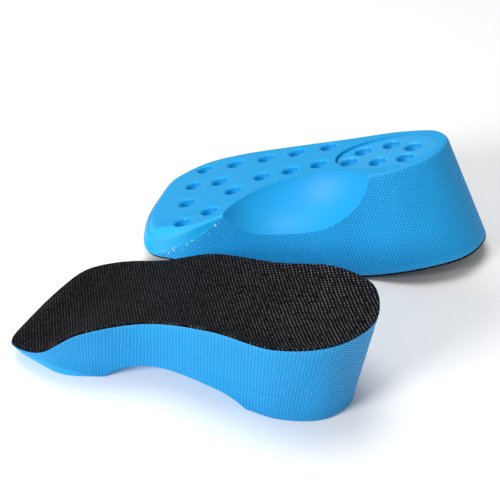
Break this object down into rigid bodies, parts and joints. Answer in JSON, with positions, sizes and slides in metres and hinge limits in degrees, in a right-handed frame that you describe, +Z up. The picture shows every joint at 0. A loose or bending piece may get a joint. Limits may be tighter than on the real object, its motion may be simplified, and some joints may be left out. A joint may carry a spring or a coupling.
{
  "type": "cushioned insole",
  "caption": "Pair of three-quarter foam insoles with a raised cupped heel, arch hollow, blind cushioning holes, heel pad and woven cover; one upright, one sole up.",
  "frame": {"origin": "middle of the pair's footprint, on the floor they rest on", "axes": "+Z up; the upright right insole's long axis lies along X with its heel towards +X and its toe towards -X; +Y points from the right insole's arch side to its outer side, behind which the left insole lies"},
  "size_m": [0.1932, 0.1872, 0.0622],
  "materials": {
    "foam": "blue moulded foam, walls with a fine canvas relief, smooth sole",
    "pad": "slightly lighter blue, smoother foam",
    "cover": "black woven fabric, matt, staggered small flecks"
  },
  "bodies": {
    "right_insole": {"right_foam_body": "foam", "right_top_cover": "cover", "right_heel_pad": "pad"},
    "left_insole": {"left_foam_body": "foam", "left_top_cover": "cover", "left_heel_pad": "pad"}
  },
  "joints": [
    {"name": "left_insole_lift", "type": "slide", "parent": "right_insole", "child": "left_insole", "axis": [0, 0, 1], "range_m": [0, 0.08]}
  ]
}
